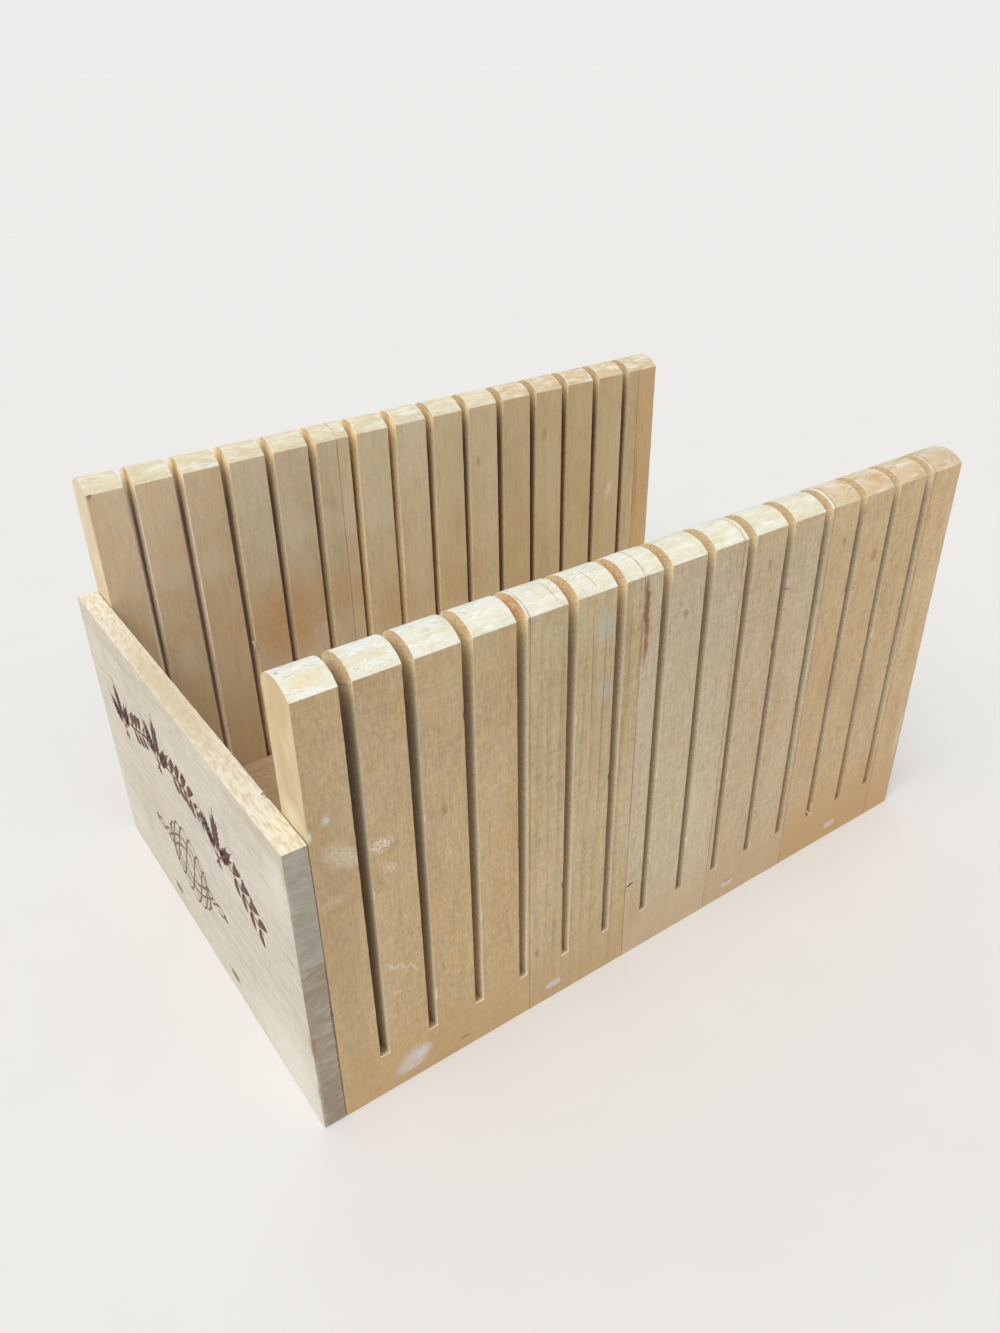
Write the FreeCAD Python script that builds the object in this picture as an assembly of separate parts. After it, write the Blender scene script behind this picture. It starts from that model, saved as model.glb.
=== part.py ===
import FreeCAD, Part
import os

# Bread slicer guide: an open wooden trough that holds a loaf while a knife is guided down
# through pairs of slots in its two side walls.
# Sizes are in millimetres. The origin lies on the bench under the middle of the object.
# +X runs along the trough to its open end, +Y from the near wall to the far wall, +Z up.

# Driving dimensions of the trough.
wall_length = 304.8
outer_width = 204.8
wall_thickness = 19.05
shoulder_height = 177.6
crown_rise = 4.4
front_thickness = 9.0
front_height = 128.0
floor_thickness = 25.4

# Knife slots, the same in both walls. Each ends in the arc that the saw blade left,
# which runs lower on the inner face than on the outer one.
slot_count = 14
slot_width = 3.57
slot_pitch = 20.45
first_slat_width = 15.7
slot_foot_outer = 20.6
slot_foot_inner = 13.8
saw_radius = 127.0

# Glue joints between the staves, measured along each panel from its first edge.
near_wall_joints = (81.8, 129.6, 176.8, 225.4, 287.0)
far_wall_joints = (58.4, 111.5, 160.6, 201.5, 242.4, 292.4)
front_board_joint = 78.8
floor_joints = (39.0, 84.0, 124.4)

# Wire staples, driven below the surface, and the filler that covers each one.
staple_width = 6.2
wire_width = 1.3
wire_thickness = 1.1
staple_bend = 1.0
chisel_tip = 0.9
wall_staple_leg = 31.8
front_staple_leg = 25.4
filler_depth = 1.6
filler_width = 7.4
filler_height = 3.6
wall_staple_places = (28.0, 93.5, 191.3, 259.7)
wall_staple_height = 7.2
front_staple_places = (76.0, 138.5)
front_staple_height = 10.2

# Planes that follow from the driving dimensions.
front_outer_x = -(wall_length + front_thickness) / 2
wall_start_x = front_outer_x + front_thickness
wall_end_x = wall_start_x + wall_length
near_outer_y = -outer_width / 2
far_outer_y = outer_width / 2
near_inner_y = near_outer_y + wall_thickness
far_inner_y = far_outer_y - wall_thickness
crown_height = shoulder_height + crown_rise
overshoot = 2.0

UP = FreeCAD.Vector(0, 0, 1)


def point(x, y, z):
    return FreeCAD.Vector(x, y, z)


def line(start, end):
    return Part.LineSegment(start, end).toShape()


def arc(start, middle, end):
    return Part.Arc(start, middle, end).toShape()


def solid_from(edges, sweep):
    """Close the edges into a face and extrude it along the sweep vector."""
    return Part.Face(Part.Wire(edges)).extrude(sweep)


def board(x_range, y_range, z_range):
    """A square-edged board between two planes on each axis."""
    size = [high - low for low, high in (x_range, y_range, z_range)]
    return Part.makeBox(size[0], size[1], size[2], point(x_range[0], y_range[0], z_range[0]))


def spans(start, end, joints):
    """Split the stretch from start to end at the joints, which are measured from start."""
    cuts = [start] + [start + joint for joint in joints] + [end]
    return list(zip(cuts[:-1], cuts[1:]))


# Wire staples and filler

def staple(leg):
    """One staple below the surface y = 0: crown along X, legs along +Y, chisel tips."""
    half = staple_width / 2
    crown_y = filler_depth
    under_crown = crown_y + wire_width
    tip_y = crown_y + leg
    bend_mid = staple_bend * (1 - 2 ** -0.5)
    inner = half - wire_width
    edges = [
        line(point(-half, tip_y, 0), point(-half, crown_y + staple_bend, 0)),
        arc(
            point(-half, crown_y + staple_bend, 0),
            point(-half + bend_mid, crown_y + bend_mid, 0),
            point(-half + staple_bend, crown_y, 0),
        ),
        line(point(-half + staple_bend, crown_y, 0), point(half - staple_bend, crown_y, 0)),
        arc(
            point(half - staple_bend, crown_y, 0),
            point(half - bend_mid, crown_y + bend_mid, 0),
            point(half, crown_y + staple_bend, 0),
        ),
        line(point(half, crown_y + staple_bend, 0), point(half, tip_y, 0)),
        line(point(half, tip_y, 0), point(inner, tip_y - chisel_tip, 0)),
        line(point(inner, tip_y - chisel_tip, 0), point(inner, under_crown, 0)),
        line(point(inner, under_crown, 0), point(-inner, under_crown, 0)),
        line(point(-inner, under_crown, 0), point(-inner, tip_y - chisel_tip, 0)),
        line(point(-inner, tip_y - chisel_tip, 0), point(-half, tip_y, 0)),
    ]
    wire = solid_from(edges, UP * wire_thickness)
    wire.translate(UP * (-wire_thickness / 2))
    return wire


def filler_plug():
    """The round-ended plug of filler between a staple's crown and the surface y = 0."""
    radius = filler_height / 2
    straight = filler_width / 2 - radius
    edges = [
        line(point(-straight, 0, -radius), point(straight, 0, -radius)),
        arc(
            point(straight, 0, -radius),
            point(straight + radius, 0, 0),
            point(straight, 0, radius),
        ),
        line(point(straight, 0, radius), point(-straight, 0, radius)),
        arc(
            point(-straight, 0, radius),
            point(-straight - radius, 0, 0),
            point(-straight, 0, -radius),
        ),
    ]
    return solid_from(edges, point(0, filler_depth, 0))


def placed(shape, turn, places):
    """Copies of a fastener shape, turned about Z and moved to each place."""
    copies = []
    for place in places:
        copy = shape.copy()
        copy.rotate(point(0, 0, 0), UP, turn)
        copy.translate(place)
        copies.append(copy)
    return copies


def fasteners(leg, turn, places):
    """The staples and the filler plugs at the given places."""
    return placed(staple(leg), turn, places), placed(filler_plug(), turn, places)


# Side walls

def wall_panel(outer_y, inward):
    """A whole side wall with its crowned top, before the slots are sawn."""
    inner_y = outer_y + inward * wall_thickness
    middle_y = (outer_y + inner_y) / 2
    x = wall_start_x
    edges = [
        line(point(x, outer_y, 0), point(x, inner_y, 0)),
        line(point(x, inner_y, 0), point(x, inner_y, shoulder_height)),
        arc(
            point(x, inner_y, shoulder_height),
            point(x, middle_y, crown_height),
            point(x, outer_y, shoulder_height),
        ),
        line(point(x, outer_y, shoulder_height), point(x, outer_y, 0)),
    ]
    return solid_from(edges, point(wall_length, 0, 0))


def slot_end_middle():
    """Depth and height of the middle of the saw's arc at the foot of a slot."""
    drop = slot_foot_outer - slot_foot_inner
    chord = (wall_thickness ** 2 + drop ** 2) ** 0.5
    sagitta = saw_radius - (saw_radius ** 2 - (chord / 2) ** 2) ** 0.5
    depth = wall_thickness / 2 - sagitta * drop / chord
    height = (slot_foot_outer + slot_foot_inner) / 2 - sagitta * wall_thickness / chord
    return depth, height


def slot_cutter(outer_y, inward, start_x):
    """The space of one knife slot, open at the top of the wall."""
    middle_depth, middle_height = slot_end_middle()
    above = crown_height + overshoot

    def corner(depth, height):
        return point(start_x, outer_y + inward * depth, height)

    past_inner = wall_thickness + overshoot
    foot_outer = corner(0, slot_foot_outer)
    foot_inner = corner(wall_thickness, slot_foot_inner)
    edges = [
        arc(foot_outer, corner(middle_depth, middle_height), foot_inner),
        line(foot_inner, corner(past_inner, slot_foot_inner)),
        line(corner(past_inner, slot_foot_inner), corner(past_inner, above)),
        line(corner(past_inner, above), corner(-overshoot, above)),
        line(corner(-overshoot, above), corner(-overshoot, slot_foot_outer)),
        line(corner(-overshoot, slot_foot_outer), foot_outer),
    ]
    return solid_from(edges, point(slot_width, 0, 0))


def slotted_wall(outer_y, inward, recesses):
    """A side wall with its row of slots and the recesses of its fasteners."""
    first_slot_x = wall_start_x + first_slat_width
    slots = [
        slot_cutter(outer_y, inward, first_slot_x + number * slot_pitch)
        for number in range(slot_count)
    ]
    return wall_panel(outer_y, inward).cut(slots + recesses)


def wall_staves(wall, outer_y, inward, joints):
    """The edge-glued staves of one wall, from the front board to the open end."""
    y_range = sorted((outer_y, outer_y + inward * wall_thickness))
    y_range = (y_range[0] - overshoot, y_range[1] + overshoot)
    z_range = (-overshoot, crown_height + overshoot)
    return [wall.common(board(x_range, y_range, z_range))
            for x_range in spans(wall_start_x, wall_end_x, joints)]


# Front board and floor

def front_boards(recesses):
    """The lower and the upper board of the front, glued edge to edge."""
    x_range = (front_outer_x, wall_start_x)
    y_range = (near_outer_y, far_outer_y)
    lower = board(x_range, y_range, (0, front_board_joint))
    upper = board(x_range, y_range, (front_board_joint, front_height))
    return lower.cut(recesses), upper


def floor_staves(recesses):
    """The floor's staves, with their grain along the trough."""
    x_range = (wall_start_x, wall_end_x)
    return [board(x_range, y_range, (0, floor_thickness)).cut(recesses)
            for y_range in spans(near_inner_y, far_inner_y, floor_joints)]


# Export

def export(name, shapes):
    """Write one node: a single solid, or a group of separate identical ones."""
    solids = [solid for shape in shapes for solid in shape.Solids]
    shape = solids[0] if len(solids) == 1 else Part.makeCompound(solids)
    shape.exportStep(f"parts/{name}.step")
    print(f"{name}: {len(solids)} solid(s), {shape.Volume / 1000:.2f} cm3, valid {shape.isValid()}")


def main():
    os.makedirs("parts", exist_ok=True)

    wall_places_x = [wall_start_x + place for place in wall_staple_places]
    near_places = [point(x, near_outer_y, wall_staple_height) for x in wall_places_x]
    far_places = [point(x, far_outer_y, wall_staple_height) for x in wall_places_x]
    front_places = [point(front_outer_x, near_outer_y + place, front_staple_height)
                    for place in front_staple_places]

    near_staples, near_filler = fasteners(wall_staple_leg, 0, near_places)
    far_staples, far_filler = fasteners(wall_staple_leg, 180, far_places)
    front_staples, front_filler = fasteners(front_staple_leg, -90, front_places)

    near_wall = slotted_wall(near_outer_y, 1, near_staples + near_filler)
    far_wall = slotted_wall(far_outer_y, -1, far_staples + far_filler)
    near_staves = wall_staves(near_wall, near_outer_y, 1, near_wall_joints)
    far_staves = wall_staves(far_wall, far_outer_y, -1, far_wall_joints)
    lower_board, upper_board = front_boards(front_staples + front_filler)
    floor = floor_staves(near_staples + far_staples + front_staples)

    for number, stave in enumerate(near_staves, 1):
        export(f"near_wall_stave_{number}", [stave])
    for number, stave in enumerate(far_staves, 1):
        export(f"far_wall_stave_{number}", [stave])
    for number, stave in enumerate(floor, 1):
        export(f"floor_stave_{number}", [stave])
    export("front_board_lower", [lower_board])
    export("front_board_upper", [upper_board])
    export("near_wall_staples", near_staples)
    export("far_wall_staples", far_staples)
    export("front_board_staples", front_staples)
    export("near_wall_filler", near_filler)
    export("far_wall_filler", far_filler)
    export("front_board_filler", front_filler)


main()
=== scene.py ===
# %% [markdown]
# # A bread slicing guide in bare hardwood
# A loaf lies in an open wooden trough, and a knife runs down through pairs of slots in the two
# tall side walls, so that every slice comes out equally thick. The walls, the floor and the low
# front board are panels, glued up from narrow staves and then stapled together.
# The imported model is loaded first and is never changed. Everything below is made in its frame,
# in metres, so that each new piece lands exactly on the solid that it dresses.

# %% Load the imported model
from contextlib import contextmanager
import math
import bmesh
import bpy
from mathutils import Matrix, Vector


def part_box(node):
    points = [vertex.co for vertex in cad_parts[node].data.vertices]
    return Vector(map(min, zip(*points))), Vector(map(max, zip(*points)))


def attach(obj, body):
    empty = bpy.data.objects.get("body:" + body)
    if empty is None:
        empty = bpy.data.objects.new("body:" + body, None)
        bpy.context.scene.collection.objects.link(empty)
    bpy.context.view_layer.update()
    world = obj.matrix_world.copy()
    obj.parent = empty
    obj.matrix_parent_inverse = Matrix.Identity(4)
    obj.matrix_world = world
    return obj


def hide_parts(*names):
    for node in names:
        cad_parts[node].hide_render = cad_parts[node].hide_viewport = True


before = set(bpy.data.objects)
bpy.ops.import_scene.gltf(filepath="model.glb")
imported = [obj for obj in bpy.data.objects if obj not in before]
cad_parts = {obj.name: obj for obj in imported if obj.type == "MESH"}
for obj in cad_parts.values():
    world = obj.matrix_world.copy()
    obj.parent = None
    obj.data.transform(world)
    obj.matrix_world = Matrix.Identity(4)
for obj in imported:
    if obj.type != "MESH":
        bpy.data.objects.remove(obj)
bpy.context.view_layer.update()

bpy.ops.object.select_all(action="DESELECT")
scene = bpy.context.scene
scene.view_settings.view_transform = "Standard"
print("nodes in the frame:", len(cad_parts))

# %% [markdown]
# The pieces are small, so lengths are written in millimetres and turned into metres at the last
# moment. The slots repeat at a fixed pitch in both walls, and many finishes depend on them, so
# their places are worked out once here. The walls start behind the front board.

# %% Sizes shared by the pieces
MM = 0.001
low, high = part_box("near_wall_stave_1")
wall_start, near_outer = low.x / MM, low.y / MM
near_inner, crest = high.y / MM, high.z / MM
low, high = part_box("far_wall_stave_1")
far_inner, far_outer = low.y / MM, high.y / MM
wall_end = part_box("near_wall_stave_6")[1].x / MM
front_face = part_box("front_board_lower")[0].x / MM
near_middle = (near_outer + near_inner) / 2
half_wall = (near_inner - near_outer) / 2
crown_rise, first_slat, slot_width, slot_pitch, slot_count = 4.4, 15.7, 3.57, 20.45, 14
shoulder = crest - crown_rise
touching = 0.01  # a point this near to a plane lies on it
slots = [wall_start + first_slat + number * slot_pitch for number in range(slot_count)]
print(f"walls run from x {wall_start:.1f} to {wall_end:.1f} mm, {len(slots)} slots in each")

# %% [markdown]
# ## The camera
# The camera is set before anything is dressed, because every later choice is judged through it.
# It could be aimed at the object with a constraint, but three angles in degrees hold the exact
# view: a slightly wide lens, above the near corner of the front board and looking down.

# %% Camera
camera_data = bpy.data.cameras.new("camera")
camera_data.sensor_width = 36.0
camera_data.lens = 28.01
camera = bpy.data.objects.new("camera", camera_data)
scene.collection.objects.link(camera)
scene.camera = camera
tilt, roll, heading = 58.584, 0.803, -35.221  # up from straight down, sideways, to the left
camera.rotation_euler = [math.radians(angle) for angle in (tilt, roll, heading)]
camera.location = Vector((-234.36, -328.26, 332.1)) * MM
print("camera stands", [round(part, 3) for part in camera.location], "m from the middle of the base")

# %% [markdown]
# ## Writing materials as arithmetic
# A wood finish is a long sum: rings, fibres, pores, stains. Wiring hundreds of nodes by hand hides
# that sum, so one small class holds an output socket and lets Python's own signs add the Math
# nodes. Colours and vectors go through the Mix and Vector Math nodes, because a Math node would
# turn a colour grey. All other nodes come from the one method `node`.

# %% A socket with arithmetic
class Wire:
    """One output socket of a material's nodes, with arithmetic on it."""

    def __init__(self, tree, socket=None):
        self.tree, self.socket = tree, socket

    def node(self, kind, inputs=None, output=0, **settings):
        """Add a node: its settings first, then a value or a link for each of its inputs."""
        made = self.tree.nodes.new("ShaderNode" + kind)
        for name, value in settings.items():
            setattr(made, name, value)
        for name, value in (inputs or {}).items():
            if isinstance(value, Wire):
                self.tree.links.new(value.socket, made.inputs[name])
            else:
                made.inputs[name].default_value = value
        return Wire(self.tree, made.outputs[output])

    def maths(self, operation, *values):
        """A Math node, whose inputs are all given."""
        return self.node("Math", dict(enumerate(values)), operation=operation)

    def __add__(self, other): return self.maths("ADD", self, other)
    def __radd__(self, other): return self.maths("ADD", other, self)
    def __sub__(self, other): return self.maths("SUBTRACT", self, other)
    def __rsub__(self, other): return self.maths("SUBTRACT", other, self)
    def __mul__(self, other): return self.maths("MULTIPLY", self, other)
    def __rmul__(self, other): return self.maths("MULTIPLY", other, self)
    def __truediv__(self, other): return self.maths("DIVIDE", self, other)
    def __abs__(self): return self.maths("ABSOLUTE", self)

    def vector(self, operation, *values, output=0):
        """Vector Math on this wire and, after it, constants or other wires."""
        inputs = dict(enumerate((self, *values)))
        return self.node("VectorMath", inputs, output, operation=operation)

    def times(self, amount):
        """A colour or a vector made stronger or weaker."""
        return self.node("VectorMath", {0: self, "Scale": amount}, operation="SCALE")

    def parts(self):
        """The x, y and z of a vector."""
        split = self.node("SeparateXYZ", {0: self}).socket.node
        return [Wire(self.tree, socket) for socket in split.outputs]

    def rise(self, low, high):
        """0 below low, 1 above high, and a smooth step between them."""
        low, high, start, end = (low, high, 0.0, 1.0) if low < high else (high, low, 1.0, 0.0)
        inputs = {"Value": self, "From Min": low, "From Max": high, "To Min": start, "To Max": end}
        return self.node("MapRange", inputs, interpolation_type="SMOOTHSTEP")

    def band(self, middle, half_width, soft):
        """1 within half_width of the middle, and 0 beyond a soft edge."""
        return abs(self - middle).rise(half_width + soft, half_width)

    def mix(self, other, amount):
        """This colour, turned into the other one by the amount."""
        return amount.mix_of(self, other)

    def mix_of(self, one, other):
        """The first colour where this mask is 0, and the other one where it is 1."""
        return self.node("Mix", {0: self, 6: one, 7: other}, 2, data_type="RGBA")

    def noise(self, stretch, detail, rough, shift=(0, 0, 0)):
        """Soft noise around 0.5, with cells one unit long before the stretch."""
        inputs = {"Vector": self.vector("MULTIPLY_ADD", stretch, shift), "Scale": 1.0,
                  "Detail": detail, "Roughness": rough}
        return self.node("TexNoise", inputs)

    def blob(self, centre, size, turn, soft):
        """1 inside an ellipsoid, fading out over the soft part of its size."""
        inputs = {"Vector": self, "Location": centre, "Scale": size,
                  "Rotation": [math.radians(angle) for angle in turn]}
        place = self.node("Mapping", inputs, vector_type="TEXTURE")
        return place.vector("LENGTH", output="Value").rise(1.0, 1.0 - soft)


def shade(red, green, blue):
    """A colour written as on a paint card, 0 to 255, as the linear values a shader needs."""
    parts = [part / 255 for part in (red, green, blue)]
    return [p / 12.92 if p <= 0.04045 else ((p + 0.055) / 1.055) ** 2.4 for p in parts] + [1.0]


def new_material(name, metallic=0.0):
    """A material with one Principled shader, and a wire to start its sums from."""
    material = bpy.data.materials.new(name)
    material.use_nodes = True
    shader = material.node_tree.nodes["Principled BSDF"]
    shader.inputs["Metallic"].default_value = metallic
    start = Wire(material.node_tree)
    place = start.node("TexCoord", output="Object").times(1 / MM)
    return material, shader, place


def finish(material, shader, colour, rough, height):
    """Plug a colour, a roughness and a height in millimetres into the shader."""
    bump = colour.node("Bump", {"Strength": 1.0, "Distance": MM, "Height": height}, "Normal")
    for name, wire in (("Base Color", colour), ("Roughness", rough), ("Normal", bump)):
        material.node_tree.links.new(wire.socket, shader.inputs[name])
    print("finish:", material.name, len(material.node_tree.nodes), "nodes")
    return material

# %% [markdown]
# ## A solid wood finish
# Each stave is cut from its own plank, so its pattern has to run through the solid: rings round a
# distant pith, which show as long lines on a face and as arcs on an end. An image wrapped round
# the stave could not do that. The finish is therefore worked out from the place in space: rings
# first, then fibres drawn out along the grain, pores, blotches, and at last stains and handling.

# %% Rings and drawn-out noise
AXES = {"X": (1, 2, 0), "Y": (2, 0, 1), "Z": (0, 1, 2)}  # across, through and along the grain


def drawn(axis, across, along):
    """Stretch factors for noise whose cells are this long, in mm, across and along the grain."""
    factors = [1 / across] * 3
    factors["XYZ".index(axis)] = 1 / along
    return factors


def yearly_rings(place, axis, pith, lean, spacing, seed):
    """0 in the pale early wood, and up to 1 at the dark edge of each ring round the pith."""
    parts = place.parts()
    across, through, along = (parts[index] for index in AXES[axis])
    sway = place.noise(drawn(axis, 34, 150), 2, 0.5, seed) * 11.0
    quiver = place.noise(drawn(axis, 5, 40), 2, 0.5, seed) * 1.5
    across = across - pith[0] - along * lean + sway
    through = through - pith[1]
    radius = place.maths("SQRT", across * across + through * through)
    turns = (radius + quiver) / spacing
    phase = place.maths("FRACT", turns)
    year = place.maths("FLOOR", turns)
    vigour = place.node("TexWhiteNoise", {"W": year}, noise_dimensions="1D")
    return phase.rise(0.2, 0.9) * phase.rise(1.0, 0.92) * (vigour * 0.7 + 0.3)


def facing(place, axis):
    """How squarely the surface faces along one axis, from 0 to 1."""
    normal = place.node("TexCoord", output="Normal")
    return abs(normal.parts()["XYZ".index(axis)])


print("grain directions:", AXES)

# %% [markdown]
# A face that runs along the grain is never one colour. From near to far it shows fine pale and
# dark fibres, short flecks, the faint lines of a sanding belt that ran across them, and broad
# clouds where the wood took up oil. Each is one noise, drawn out in its own direction.

# %% Long grain
def long_grain(place, axis, look, late, seed):
    """The colour, roughness and height of a face along the grain."""
    def cells(across, along, detail=3, rough=0.6, shift=seed):
        return place.noise(drawn(axis, across, along), detail, rough, shift)

    belt = "XYZ"[AXES[axis][0]]
    fibre = cells(0.5, 6.5 * look["run"], rough=0.65)
    fleck = cells(1.0, 2.6 * look["run"])
    mottle = cells(3.6, 8)
    streak = cells(2.2, 80)
    cloud = cells(12, 26)
    haze = cells(38, 70, 2, 0.5, seed[::-1])
    sanding = place.noise(drawn(belt, 0.6, 7), 2, 0.6, seed)
    pores = cells(0.4, 3.0, 1, 0.5).rise(0.60, 0.74)
    colour = (late * look["figure"]).mix_of(look["light"], look["dark"])
    colour = colour.mix(look["warm"], cloud.rise(0.48, 0.70) * look["blotch"])
    colour = colour.mix(look["pale"], haze.rise(0.46, 0.66) * 0.45)
    colour = colour.mix(look["dark"], streak.rise(0.52, 0.75) * 0.30)
    colour = colour.mix(look["warm"], mottle.rise(0.42, 0.62) * 0.35)
    tone = (fibre + fleck) * look["grain"] + mottle * 0.40 + sanding * look["sanded"]
    even = 0.82 - look["grain"] - look["sanded"] / 2  # keeps the mean tone where it was written
    colour = colour.times(tone + even)
    colour = colour.mix(look["pale"], fleck.rise(0.58, 0.74) * look["flecks"])
    colour = colour.mix(look["pore"], pores * 0.12)
    rough = 0.60 + fibre * 0.10 - cloud * 0.06
    height = fibre * 0.020 + fleck * 0.016 + mottle * 0.022 - pores * 0.030 + late * 0.010
    return colour, rough, height

# %% [markdown]
# End grain is a bundle of cut tubes. On the crowned tops it is painted nearly white, partly
# standing in for strong light from above, with yellow patches where oil soaked in and pale lines
# left by the sanding. On the ends of the front board it stays grey and shows the slanted lines of
# the saw.

# %% End grain
def end_grain(place, axis, look, late, seed, oiled=None):
    """The colour, roughness and height of an end across the grain."""
    lines = {"X": "Y", "Y": "X", "Z": "X"}[axis]

    def cells(across, along, detail=3, rough=0.6, shift=seed, start=place):
        return start.noise(drawn(lines, across, along), detail, rough, shift)

    turn = [0, math.radians(look["saw_angle"]), 0]
    turned = place.node("Mapping", {"Vector": place, "Rotation": turn})
    ruled = cells(look["ruled_width"], 26, start=turned)
    soak = cells(4.0, 11, rough=0.65)
    chalk = cells(2.4, 9, shift=seed[::-1])
    speck = place.noise((1.6, 1.6, 1.6), 3, 0.6, seed)
    bent = place.noise((0.09, 0.09, 0.09), 2, 0.5, seed)
    vein = cells(0.8, 8, 2, shift=seed[::-1], start=bent.vector("MULTIPLY_ADD", (2, 9, 2), place))
    # On the walls' crowned tops the pale end tones are partly painted light from above.
    colour = (late * look["end_figure"]).mix_of(look["end"], look["end_dark"])
    colour = colour.mix(look["end_dark"], soak.rise(0.46, 0.68) * look["soak"])
    if oiled:
        colour = colour.mix(look["butter"], oiled)
    colour = colour.mix(look["chalk"], chalk.rise(0.48, 0.66) * 0.6)
    veined = vein.band(0.5, 0.006, 0.035) * soak.rise(0.36, 0.56)
    colour = colour.mix(look["vein"], veined * look["veins"])
    colour = colour.times(ruled * look["ruled"] + speck * 0.26 + (0.87 - look["ruled"] / 2))
    height = ruled * 0.012 + speck * 0.02
    return colour, speck * 0.08 + 0.64, height

# %% [markdown]
# The walls of the slots were torn by a saw. They are fuzzy and marked by the arcs of its teeth.
# Painted light and shade are laid on them: a lit pale tone at the corners and near the crown, and
# a painted brown shade deeper in. They are told apart from the rest by the direction that the
# surface faces and by their place.

# %% Sawn slots
saw_radius = 127.0
saw_inset = 52.2  # from a wall's outer face inwards to the middle of the saw's arc


def along_pitch(place, x):
    """How far along its own pitch a point lies, from 0 at 1 mm before its slot up to 1."""
    return place.maths("FRACT", (x - slots[0] + 1.0) / slot_pitch)


def sawn_walls(place, outer_y, inward):
    """A mask of the slots' walls, their depth from the nearer face, and the saw's ridges."""
    x, y, z = place.parts()
    inside = x.rise(slots[0] - 0.9, slots[0] - 0.5) * x.rise(slots[-1] + 4.6, slots[-1] + 4.2)
    near_slot = along_pitch(place, x).rise(6.1 / slot_pitch, 5.6 / slot_pitch)
    mask = facing(place, "X").rise(0.72, 0.9) * inside
    foot = near_slot * facing(place, "Z").rise(0.5, 0.8) * z.rise(30, 28) * z.rise(8, 10)
    depth = half_wall - abs(y - (outer_y + inward * half_wall))
    reach = y - (outer_y + inward * saw_inset)
    tooth = z + place.maths("SQRT", saw_radius ** 2 - reach * reach)
    ridges = tooth.node("TexNoise", {"W": tooth * 0.8, "Scale": 1.0, "Detail": 2.0},
                        noise_dimensions="1D")
    return place.maths("MAXIMUM", mask, foot), depth, ridges


def sawn_wood(place, depth, ridges, look, seed):
    """The colour and height of torn wood: painted light at the corner and crown, painted shade deeper
    in.
    """
    x, _, z = place.parts()
    fuzz = place.noise((0.9, 0.6, 0.7), 4, 0.7, seed)
    grit = place.noise((1.9, 1.5, 1.1), 3, 0.7, seed)
    frayed_depth = depth - (fuzz - 0.5) * 5.0
    # Painted shade: the slot's wall darkens from a lit tone at the corner to brown deeper in.
    start, end, level = look["cut"]
    colour = frayed_depth.rise(start, end).mix_of(look["cut_pale"], look["cut_deep"])
    # Painted light: the wall is paler near the crown, where light falls into the slot's mouth.
    colour = colour.mix(shade(208, 190, 150), z.rise(155, 178) * 0.65)
    colour = colour.mix(shade(192, 150, 96), x.rise(slots[8], slots[12]) * z.rise(70, 30) * 0.6)
    colour = colour.mix(shade(138, 110, 80), fuzz.rise(0.50, 0.74) * 0.55)
    # Painted light and shade in the slots: lighter stretches along the wall, a glow low down and near
    # the crown, and shade from about 120 mm up.
    lighter = x.rise(slots[0] + 9, slots[3] - 9) * 0.18 - x.rise(slots[4], slots[9]) * 0.10
    glow = z.rise(90, 25) * x.rise(slots[7], slots[3]) * 0.22 + z.rise(168, 180) * 0.40
    shadow = z.rise(120, 155) * 0.10
    colour = colour.times((lighter + glow - shadow + level) * (ridges * 0.3 + grit * 0.7 + 0.50))
    return colour, ridges * 0.10 + fuzz * 0.12 + grit * 0.05


print("slot walls are masked from x", round(slots[0], 1), "to", round(slots[-1] + slot_width, 1))

# %% [markdown]
# The marks of years of use are ellipsoids with frayed edges: each is given as a centre, a size
# and a turn in millimetres and degrees, then its colour, how strongly it covers and how soft it
# is. A rub of dry filler or flour only catches the raised fibres, so it breaks up into dashes.

# %% Marks of use
def add_marks(colour, place, marks, seed):
    """The colour with every mark laid over it, in the order in which they are listed."""
    frayed = place.noise((0.45, 0.45, 0.45), 3, 0.6, seed)
    dashes = place.noise((0.9, 0.9, 1.2), 3, 0.7, seed).rise(0.42, 0.60)
    cloud = place.node("TexNoise", {"Vector": place, "Scale": 0.33, "Detail": 4.0, "Roughness": 0.65},
                       "Color")
    ragged = cloud.vector("MULTIPLY_ADD", (3.0,) * 3, place.vector("SUBTRACT", (1.5,) * 3))
    for centre, size, angle, tint, cover, soft, *kind in marks:
        start = ragged if min(size[0], size[2]) > 1.2 else place
        mask = start.blob(centre, size, angle, soft)
        if "dashes" in kind:
            mask = mask * dashes
        elif soft > 0.5:
            mask = mask * (frayed * 0.9 + 0.55)
        colour = colour.mix(shade(*tint), mask.maths("MINIMUM", mask * cover, 1.0))
    return colour


def glue_lines(colour, height, place, axis, seams, seed):
    """Thin broken lines where two staves meet."""
    across = place.parts()[AXES[axis][0]]
    broken = place.noise(drawn(axis, 8, 14), 3, 0.6, seed).rise(0.38, 0.56)
    for seam in seams:
        line = across.band(seam, 0.12, 0.18)
        colour = colour.mix(shade(112, 84, 58), line * (broken * 0.5 + 0.22))
        height = height - line * 0.03
    return colour, height


print("marks are ellipsoids in mm, frayed by noise")

# %% [markdown]
# One function adds it all up. Its `look` is a short list of what differs from stave to stave.
# Corners rubbed round are a little paler than the faces beside them: partly wear, partly a painted
# highlight.

# %% The wood finish
def crown_wear_and_highlight(place, outer_y, look, seed):
    """Oil along the lower outer side of the crowned tops, and a pale rim beside each slot,
    partly wear and partly a painted highlight.
    """
    x, y, _ = place.parts()
    drift = place.noise((0.07, 0.14, 0.07), 3, 0.65, seed)
    inset = abs(y - outer_y) - (drift - 0.5) * 14
    oiled = inset.rise(10.5, 6.0) * look["buttered"]
    beside = along_pitch(place, x) * slot_pitch
    worn = place.noise((0.4, 0.4, 0.4), 2, 0.6, seed).rise(0.40, 0.55)
    return oiled, beside.band(4.9, 0.2, 0.3) * worn * 0.5


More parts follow.
